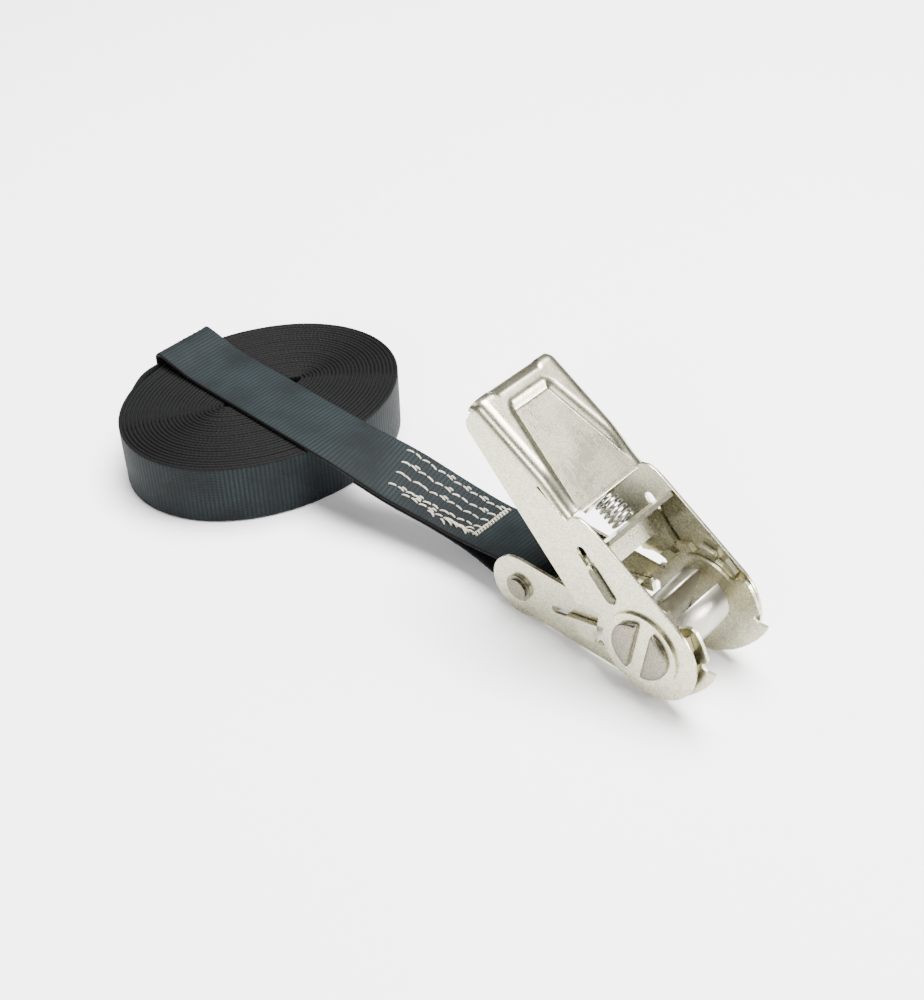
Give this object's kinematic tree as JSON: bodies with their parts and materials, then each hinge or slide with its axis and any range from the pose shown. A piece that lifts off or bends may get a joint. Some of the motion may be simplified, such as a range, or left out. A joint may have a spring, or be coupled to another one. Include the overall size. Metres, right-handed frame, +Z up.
{
  "type": "ratchet strap",
  "caption": "Endless ratchet strap: pressed-steel ratchet buckle with a raised lever handle, slotted spool and sprung pawls, and webbing sewn to its anchor bolt and rolled into a flat coil.",
  "frame": {"origin": "middle of the spool axis, half way between the two base plates", "axes": "+X away from the anchor bolt along the buckle, +Y along the spool to the far base plate, +Z up from the surface the strap lies on"},
  "size_m": [0.2572, 0.1096, 0.0812],
  "materials": {
    "zinc_plated_sheet": "bright zinc-plated pressed sheet, satin",
    "plain_steel_bar": "zinc-plated turned and cropped bar, slightly duller",
    "spring_steel": "bright spring wire",
    "webbing": "blue-black polyester webbing with fine cross ribs",
    "thread": "cream polyester thread"
  },
  "bodies": {
    "base": {"base_plate_near": "zinc_plated_sheet", "base_plate_far": "zinc_plated_sheet", "base_crossweb": "zinc_plated_sheet", "anchor_bolt": "plain_steel_bar", "anchor_washer": "plain_steel_bar", "anchor_sleeve": "zinc_plated_sheet", "lock_spring": "spring_steel"},
    "handle": {"handle_stamping": "zinc_plated_sheet", "drive_spring": "spring_steel"},
    "drive_pawl": {"drive_pawl": "zinc_plated_sheet"},
    "lock_pawl": {"lock_pawl": "zinc_plated_sheet"},
    "spool": {"spool_bar_left": "plain_steel_bar", "spool_bar_right": "plain_steel_bar", "ratchet_wheel_near": "zinc_plated_sheet", "ratchet_wheel_far": "zinc_plated_sheet", "spool_disc_near": "zinc_plated_sheet", "spool_disc_far": "zinc_plated_sheet"},
    "webbing": {"webbing_coil": "webbing", "webbing_lead": "webbing", "webbing_eye": "webbing", "stitching": "thread"}
  },
  "joints": [
    {"name": "handle_pivot", "type": "hinge", "parent": "base", "child": "handle", "pos_m": [0, 0, 0], "axis": [0, 1, 0], "range_deg": [-30, 120]},
    {"name": "spool_turn", "type": "hinge", "parent": "base", "child": "spool", "pos_m": [0, 0, 0], "axis": [0, 1, 0], "continuous": true},
    {"name": "drive_pawl_slide", "type": "slide", "parent": "handle", "child": "drive_pawl", "axis": [-0.7096, 0, 0.7046], "range_m": [-0.0024, 0.005], "stiffness_N_per_m": 300, "deforming": ["drive_spring"]},
    {"name": "lock_pawl_slide", "type": "slide", "parent": "base", "child": "lock_pawl", "axis": [-0.965, 0, -0.2622], "range_m": [-0.0024, 0.005], "stiffness_N_per_m": 300, "deforming": ["lock_spring"]},
    {"name": "eye_swivel", "type": "hinge", "parent": "base", "child": "webbing", "pos_m": [-0.0536, 0, -0.0095], "axis": [0, 1, 0], "range_deg": [-12, 12]}
  ]
}
